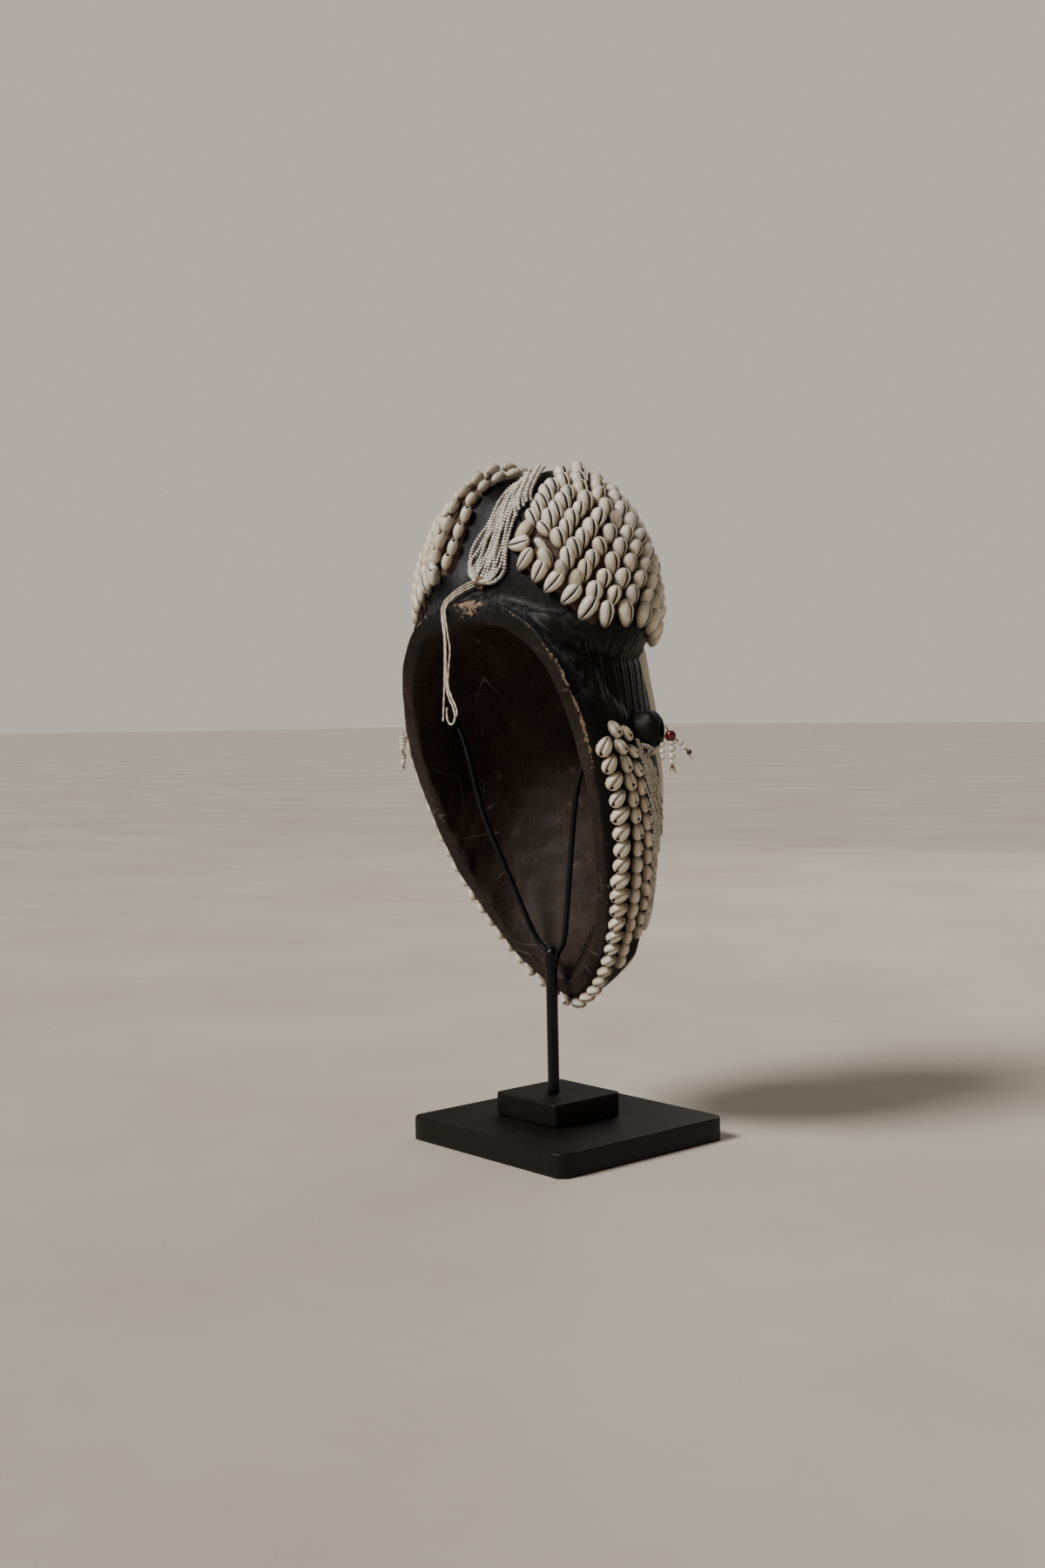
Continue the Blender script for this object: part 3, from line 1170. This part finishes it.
def glue_sheet(grid):
    """A thin closed skin over the wood under the shells, uneven by hand, sunk into the wood at its back."""
    sink, rise = 0.9, 2.3
    part, ups = (v[::2, ::2] for v in grid[:2])
    rows, columns = part.shape[:2]
    across, along = (np.minimum(np.linspace(0, 1, n), np.linspace(1, 0, n)) for n in (columns, rows))
    lift = rise * np.clip(np.minimum(across[None] * 12, along[:, None] * 30), 0, 1) - sink
    lumps = hand_wobble(part.reshape(-1, 3), 0.7, 9, 12)[:, 0].reshape(rows, columns)
    front = part + ups * (lift + lumps * np.clip(lift, 0, 1))[..., None]
    loop = np.concatenate([front, (part - ups * 1.2)[:, ::-1]], 1)
    return skin(loop, loop[0].mean(0), loop[-1].mean(0))


def brown_glue():
    """Red-brown glue with fibres and dust in it."""
    material, shader = paint("brown_glue")
    clouds = noise(object_place(material.node_tree), 260, 6.0, 0.65)
    tone = ramp(clouds, (0.3, (0.030, 0.016, 0.010)), (0.6, (0.085, 0.047, 0.028)),
                (0.8, (0.19, 0.13, 0.085)))
    set_up(shader, Base_Color=tone, Roughness=0.85, Normal=bump(clouds, 0.8, 0.0012))
    return material


shell_material = cowrie_shell()
glue_material = brown_glue()


def cover_lobe(word, grid, parts):
    """One lobe's shells as a piece and the glue under them as another."""
    shape, marks = gathered(parts)
    make_piece(f"{word}_lobe_cowries", shape, shell_material, [f"cowrie_field_{word}"], marks)
    make_piece(f"{word}_lobe_glue", glue_sheet(grid), glue_material)


def cover_right_lobe():
    """Rows over the whole lobe, two odd shells laid on their sides at the back corner."""
    numbers = np.random.default_rng(21)
    grid = lobe_grid(-1, RIGHT_BORDER, RIGHT_CREST)
    odd = on_wood([(-43.5, 63.7, 405.8), (-57.5, 61.5, 396.2)])
    parts = shell_rows(grid, -3.0, numbers, -1, odd)
    ways = [((-4, -7, 11), (15.5, 9, 8.4), 1.2), ((10, 1, 11.5), (15.5, 8, 5.6), 1.5)]
    for place, (axis, size, roll) in zip(odd[:, None], ways):
        up = facing(place)
        parts.append(lay_cowries(place + up * BORDER_LIFT, up, np.array([axis], float), size, numbers,
                                 roll=roll, dirt=0.25))
    cover_lobe("right", grid, parts)


def cover_left_lobe():
    """Two lines of shells on their sides along the valley, and rows over the rest."""
    numbers = np.random.default_rng(22)
    grid = lobe_grid(1, LEFT_BORDER, LEFT_CREST)
    parts = shell_rows(grid, 15.0, numbers, 1)
    inner = [
        (27.6, 70.5, 392), (26.8, 69.8, 397), (24.7, 64.7, 410.6), (22.8, 59.4, 421), (23.1, 52.2, 432.5),
        (20.9, 45, 439), (18.2, 38, 443.3), (16.8, 30, 446.6), (15.1, 22.4, 447.6), (13.5, 12, 448),
        (15.5, -8, 442), (21, -24, 426), (30, -34, 400), (38, -38, 374)]
    outer = [
        (36.8, 75.1, 387.7), (36.6, 70.7, 397.6), (34.9, 68.2, 409.6), (33, 64.4, 419.3), (33.4, 56.9, 429.1),
        (31.6, 50.7, 436.3), (28, 43.7, 443.7), (26.5, 34, 448), (25, 22, 450), (24, 10, 450),
        (26, -8, 442), (31, -24, 426), (40, -34, 402), (48, -38, 378)]
    for line, lift, size, pitch in ((inner, [3.9, 3.8], (11.6, 7.2, 6.2), 11.3),
                                    (outer, [6.0, 7.0, 7.4, 6.8, 5.2], (11.6, 7.7, 6.5), 11.4)):
        parts.append(strung_shells(spline(line, 160), lift, size, pitch, numbers,
                                   roll=-1.25, closed=-1.0, vary=0.06, dirt=0.2))
    cover_lobe("left", grid, parts)


cover_right_lobe()
cover_left_lobe()


# The cheek rows: cowries strung on thread and glued before the rim. The long jaw row runs from
# temple to temple below the chin; two shorter rows lie before it on each cheek.
JAW_TOP = 74
JAW_FORWARD = [(68, 8), (86, 10), (100, 10), (114, 9), (125, 7), (140, 5.8), (150, 4.4), (165, 3), (180, 2.5)]
OUTER_FORWARD = [(62, 18), (80, 20.5), (107, 21), (120, 18.5), (140, 15.5), (157, 13)]
INNER_STEP = 7.6
SHELL_PITCH = 11.3


def rim_row(start, end, forward, pitch, further=0.0):
    """Even places on the wood before the rim, the proper left side's a little further from it than the
    right's, with facings and directions along the row."""
    turned = np.linspace(start, end, 420)
    ahead = read(forward, np.minimum(turned, 360 - turned)) + further * smooth_step(180, 150, turned)
    line = before_rim(np.radians(turned), ahead)
    places = even_path(line, int(round(travelled(line)[-1] / pitch)) + 1)
    return places, facing(places), unit(np.gradient(places, axis=0))


def string_jaw_row():
    """Broad ends point to the rim and the chin, and the slits show from behind."""
    numbers = np.random.default_rng(31)
    places, up, along = rim_row(JAW_TOP, 360 - JAW_TOP, JAW_FORWARD, SHELL_PITCH, 2.6)
    to_rim = np.cross(up, along)
    to_rim *= np.sign(to_rim[:, 1:2])
    to_chin = along * np.where(np.linspace(0, 1, len(places)) < 0.5, 1.0, -1.0)[:, None]
    axis = unit(to_rim * 0.72 + to_chin * 0.70)
    size = np.array([13.8, 10.2, 7.8]) * (1 - 0.20 * smooth_step(190, 110, places[:, 2:]))
    centres = places + up * (4.1 - 0.9 * (places[:, :1] > 0))
    shape, marks = lay_cowries(centres, unit(up + to_rim * 0.35), axis, size, numbers,
                               closed=1.0, vary=0.05, dirt=0.75)
    make_piece("jaw_row_cowries", shape, shell_material, ["cowrie_jaw_row"], marks)


def on_side(side, turned):
    """An angle from the top towards the proper left, or the same one towards the right."""
    return turned if side > 0 else 360 - turned


def string_cheek_row(side, word, name, start, end, forward, size, roll, seed):
    """One shorter row: broad ends down, each shell rolled further on its side down the row."""
    numbers = np.random.default_rng(seed)
    places, up, along = rim_row(on_side(side, start), on_side(side, end), forward, SHELL_PITCH)
    down_row = np.linspace(0, 1, len(places))
    shape, marks = lay_cowries(
        places + up * 3.9, up, along, size, numbers, turn=side * read([(0, 0.3), (0.25, 0.0)], down_row),
        roll=side * read(roll, down_row), closed=0.84, vary=0.06, dirt=0.75)
    make_piece(f"{name}_row_cowries_{word}", shape, shell_material,
               [f"cowrie_cheek_row_{name}_{word}"], marks)


string_jaw_row()
for side, word in ((1, "left"), (-1, "right")):
    string_cheek_row(side, word, "outer", 68.5, 157, OUTER_FORWARD, (12.8, 8.1, 6.8),
                     [(0, 0.0), (0.35, 0.1), (0.55, 0.8), (1, 1.1)], 41 + side)
    inner_forward = [(a, f + INNER_STEP) for a, f in OUTER_FORWARD]
    string_cheek_row(side, word, "inner", 70, 146, inner_forward, (12.2, 6.8, 6.0),
                     [(0, 0.1), (0.4, 0.3), (0.6, 1.0), (1, 1.1)], 51 + side)


# The bead work: strings of small off-white glass beads, a slanting fan on each cheek and
# a band in the valley that is drawn together with brown thread at its foot.
BEAD_LENGTH, BEAD_RADIUS = 1.65, 0.95
BAND_LEFT = [
    (-5.5, 73.2, 375), (6.6, 68.4, 380.8), (12, 64.9, 389.2), (12.6, 62.4, 396.2), (9.4, 57.5, 406.3),
    (6.3, 52.6, 415.4), (3.9, 47, 425.2), (1.6, 39.8, 434), (-3.8, 30, 440)]
BAND_RIGHT = [
    (-12.5, 73.9, 374.5), (-24.1, 74.9, 375.1), (-32.2, 73.6, 382.1), (-33.5, 71.7, 389.5), (-32.8, 68, 402),
    (-32.2, 63.7, 412.3), (-31.1, 58.4, 422.1), (-29.8, 52, 431), (-28, 40, 441)]
PANEL_START = [(0, 33), (0.45, 33), (0.65, 30.5), (1, 26.5)]
PANEL_WIDTH = [(0, 5), (0.05, 11), (0.14, 19), (0.3, 24), (0.5, 20), (0.65, 13), (0.85, 9), (1, 6)]


def bead_form(sides=7):
    """Three rings between two ends: a short pinched barrel, one unit long and one in radius."""
    turn = round_steps(sides)
    rings = np.array([np.column_stack([r * np.cos(turn), r * np.sin(turn), np.full(sides, a)])
                      for a, r in ((-0.42, 0.62), (0.0, 1.0), (0.42, 0.62))])
    form, *faces = skin(rings, (0, 0, -0.46), (0, 0, 0.46))
    return form, faces


def thread_beads(paths, numbers, length=BEAD_LENGTH, radius=BEAD_RADIUS, soil=0.6):
    """Beads at even places on each path, each along the path's direction, all a little unlike."""
    lines = [even_path(path, max(2, int(travelled(path)[-1] / length) + 1)) for path in paths]
    centres = np.vstack([(line[1:] + line[:-1]) / 2 for line in lines])
    axes = np.vstack([unit(np.diff(line, axis=0)) for line in lines])
    n = len(centres)
    axes = unit(axes + numbers.normal(0, 0.08, (n, 3)))
    centres = centres + numbers.normal(0, 0.06, (n, 3))
    side = unit(np.cross(axes, [0.31, 0.52, 0.79]))
    form, faces = bead_form()
    size = radius * (1 + numbers.uniform(-0.13, 0.10, n))
    scale = np.stack([size, size, np.full(n, length * 1.02)], 1)
    shape = placed(form, faces, centres, [side, np.cross(axes, side), axes], scale)
    tone = np.repeat(numbers.uniform(0, 1, n), len(form))
    end = np.tile(np.abs(form[:, 2]) * 2, n)
    return shape, {"bead": np.column_stack([tone, end, np.full(len(tone), soil)])}


def glass_bead():
    """Opaque off-white glass, dusty, darker where two beads meet."""
    material, shader = paint("off_white_beads")
    tone, end, soil = split_mark(material.node_tree, "bead")
    colour = ramp(tone, (0.0, (0.56, 0.50, 0.40)), (0.3, (0.72, 0.68, 0.58)), (0.85, (0.80, 0.76, 0.68)),
                  (1.0, (0.42, 0.36, 0.28)))
    grime = rising(noise(object_place(material.node_tree), 130, 5.0, 0.65), 0.45, 0.7)
    colour = mix_colour(grime * (soil * 0.75), colour, (0.20, 0.14, 0.09))
    colour = mix_colour(rising(end, 0.60, 0.88) * 0.9, colour, (0.045, 0.03, 0.02))
    set_up(shader, Base_Color=colour, Roughness=0.36)
    return material


bead_material = glass_bead()


def string_panel(side, word, seed):
    """Slanting strings: each leaves the inner row and comes out on the face side further down."""
    numbers = np.random.default_rng(seed)
    top, sweep, drop = 72, 75, 0.42
    paths = []
    for k, start in enumerate(np.arange(-0.40, 0.985, 0.046)):
        run = np.linspace(0, 1, 40)
        v = start + run * drop
        on = (v >= 0) & (v <= 1)
        if on.sum() < 5:
            continue
        u, v = run[on] ** 1.1, v[on]
        wave = 0.25 * np.sin(v * 31 + numbers.uniform(0, 6.3))
        forward = read(PANEL_START, v) + read(PANEL_WIDTH, v) * u + wave
        places = before_rim(np.radians(on_side(side, top + sweep * v)), forward)
        lift = 2.7 + 0.4 * (k % 2) + 0.2 * np.sin(v * 33 + k)
        paths.append(places + facing(places) * lift[:, None])
    shape, marks = thread_beads(paths, numbers, soil=0.75)
    make_piece(f"cheek_beads_{word}", shape, bead_material, [f"bead_panel_{word}"], marks)


def string_band():
    """Fifteen swaying strings from the drawn-in foot to the crown, and five that turn over there and hang
    towards the proper right lobe."""
    numbers = np.random.default_rng(71)
    count, strings, turned_over = 90, 15, 5
    v = np.linspace(0, 1, count)
    left, right = spline(BAND_LEFT, count), spline(BAND_RIGHT, count)
    paths = []
    for j in range(strings):
        u = j / (strings - 1) + 0.028 * np.sin(v * 11 + j * 1.7) * np.sin(v * np.pi)
        places = on_wood(left + (right - left) * u[:, None])
        lift = 2.8 + 0.9 * (j % 2) + 0.5 * np.sin(v * 15 + j * 2.4)
        paths.append(places + facing(places) * lift[:, None])
    over = np.array([(-24, 36, 442), (-29, 45, 438), (-31.5, 51, 433), (-34, 56, 427), (-37.5, 58.5, 421.5)])
    for j in range(turned_over):
        aside = np.array([-1.0, -1.6, 1.6]) * (j - turned_over // 2) * 1.25
        reach_down = np.linspace(0, 1, len(over))[:, None] * [0, 0, 1] * numbers.uniform(-2, 3)
        places = on_wood(curve_through(over + aside + reach_down, 30))
        paths.append(places + facing(places) * (4.4 + 1.2 * (j % 2)))
    shape, marks = thread_beads(paths, numbers, 2.0, 1.3, 0.1)
    make_piece("valley_beads", shape, bead_material, ["bead_band"], marks)


def bind_foot():
    """Four turns of brown thread that draw the strings' foot together above the tie."""
    turns, length, half_width, half_depth = 4, 5.0, 4.2, 2.4
    turn = np.linspace(0, turns * 2 * np.pi, 120)[:, None]
    middle = on_wood([(-8.2, 73, 374.5)])
    up = facing(middle)
    down = unit(np.array([[0.18, 0.35, -1.0]]))
    across = unit(np.cross(up, down))
    path = middle + up * (2.6 + np.sin(turn) * half_depth) + across * np.cos(turn) * half_width
    path = path + down * length * np.linspace(-0.5, 0.5, len(turn))[:, None]
    shape = thread_pair(path, 0.75, 3.5)
    material = cotton("brown_thread", (0.22, 0.15, 0.09), (0.10, 0.06, 0.035))
    make_piece("foot_binding", shape, material, marks={"soil": np.full(len(shape[0]), 0.6)})


for side, word in ((1, "left"), (-1, "right")):
    string_panel(side, word, 60 + side)
string_band()
bind_foot()


# The ear pendants: short threads of larger beads that hang from each ear. The right one has a dark
# red bead and two tails; the left one a coiled white bead. Their threads end in frayed knots.
BEAD_PROFILE = np.array([(-0.47, 0.58), (-0.30, 0.88), (0.0, 1.0), (0.30, 0.88), (0.47, 0.58)])
BEAD_SIDES = 14


def pendant_bead(centre, axis, radius, length):
    """A barrel turned about its axis: five rings whose radius swells to the middle."""
    along, swell = BEAD_PROFILE.T
    path = np.array(centre) + unit(np.array(axis, float)) * along[:, None] * length
    return tube(path, radius * swell, up=(0.9, 0.1, 0.3), sides=BEAD_SIDES)


def pendant_piece(name, beads, material, replaces=()):
    """Beads of one colour as one mesh, each with its own tone."""
    shapes = [pendant_bead(*bead) for bead in beads]
    tone = np.repeat(np.linspace(0.25, 0.8, len(beads)), len(shapes[0][0]))
    end = 0.8 * np.append(np.repeat([0.9, 0.55, 0.0, 0.55, 0.9], BEAD_SIDES), [1, 1])
    marks = {"bead": np.column_stack([tone, np.tile(end, len(beads)), np.full(len(tone), 0.5)])}
    make_piece(name, joined(shapes), material, replaces, marks)


def pendant_threads(name, routes):
    """Thin dull threads along their routes, thinner at each end."""
    places, thickest = 14, 0.55
    radii = thickest * read([(0, 0.6), (0.3, 1), (1, 0.35)], np.linspace(0, 1, places))
    shape = joined([tube(curve_through(route, places), radii, (0, 0, 1), 7) for route in routes])
    make_piece(name, shape, thread_material, marks={"soil": np.full(len(shape[0]), 0.45)})


def red_glass():
    """Dark red opaque glass, a little cloudy."""
    material, shader = paint("dark_red_glass")
    clouds = noise(object_place(material.node_tree), 500)
    set_up(shader, Base_Color=ramp(clouds, (0.35, (0.055, 0.002, 0.004)), (0.65, (0.125, 0.005, 0.008))),
           Roughness=0.22)
    return material


thread_material = cotton("tan_thread", (0.36, 0.27, 0.17), (0.22, 0.15, 0.09))
up = (0, 0, 1)
slant = (-0.5, -0.6, -1)
knot = (-107, 0.8, 255)
pendant_piece("right_pendant_red_bead", [((-106.5, 1.3, 272.7), up, 3.5, 6.8)], red_glass(),
              ["ear_pendant_right"])
pendant_piece("right_pendant_beads", [
    ((-106.9, 0.9, 268.2), up, 2.8, 2.6), ((-107, 0.7, 264.7), up, 2.5, 4.3),
    ((-107, 0.8, 260.2), up, 2.45, 4.2), ((-107, 0.8, 256.2), up, 1.8, 3.4),
    ((-110.7, -3.4, 268.2), slant, 1.9, 3.2), ((-112.1, -5, 265.2), slant, 1.9, 2.8),
    ((-104, 6.2, 267), up, 1.9, 3.6), ((-104, 6.2, 263.2), up, 1.9, 3.6),
    ((-104.1, 6.1, 259.4), up, 1.8, 3.4)], bead_material)
pendant_threads("right_pendant_threads", [
    [(-103.5, 3, 279), (-105, 2, 276), (-106.5, 1.3, 273)],
    [(-106.9, 0.9, 271), (-107, 0.8, 262), (-107, 0.8, 254.5)],
    [knot, (-106.6, 1.3, 252.5), (-106, 1.8, 250.3)], [knot, (-108, -0.4, 252.4), (-108.8, -1.2, 248.9)],
    [knot, (-107.3, 0.4, 252.3), (-107.9, -0.2, 249.8)],
    [(-106.5, 1.3, 272.5), (-109, -1.5, 270), (-112, -5, 265)],
    [(-112, -5, 265), (-114.2, -7.4, 262.4), (-114.6, -7.6, 259.4), (-115.9, -9.2, 258.4)],
    [(-105, 4, 274), (-104, 6.2, 268), (-104, 6.2, 257)]])
pendant_piece("right_pendant_end_bead", [((-114.2, -7.4, 262.3), slant, 1.75, 3.0)],
              black_paint("dark_bead", (0.055, 0.034, 0.018), (0.12, 0.085, 0.05), 0.4, 0.4, 0.0001))
pendant_piece("left_pendant_beads", [
    ((108, 46.6, 271.6), up, 2.7, 2.5), ((108, 46.6, 269.4), up, 2.75, 2.5),
    ((108.1, 46.7, 267.2), up, 2.6, 2.4),
    ((108.3, 46.9, 264.4), up, 2.3, 3.4), ((108.2, 46.7, 254), up, 2.0, 5.0)], bead_material,
    ["ear_pendant_left"])
pendant_threads("left_pendant_threads", [
    [(103.5, 12, 277), (106, 28, 278), (106.5, 44.9, 276.9), (108, 46.6, 272)],
    [(108.3, 46.9, 263), (107.7, 46.2, 261), (106.9, 45.3, 257.9), (108, 46.6, 255.5)],
    [(108.3, 46.9, 263), (108.4, 46.8, 260), (107.2, 45.6, 258.4), (108.3, 46.8, 256)],
    [(108.1, 46.7, 252), (107.5, 46, 249.8), (107.2, 45.6, 248.6)], [(108.1, 46.7, 252), (108, 46.4, 249.4)],
    [(106.2, 44.5, 272), (105.2, 43.4, 265.8), (104.5, 42.6, 259.7), (103.7, 41.7, 251.2)]])
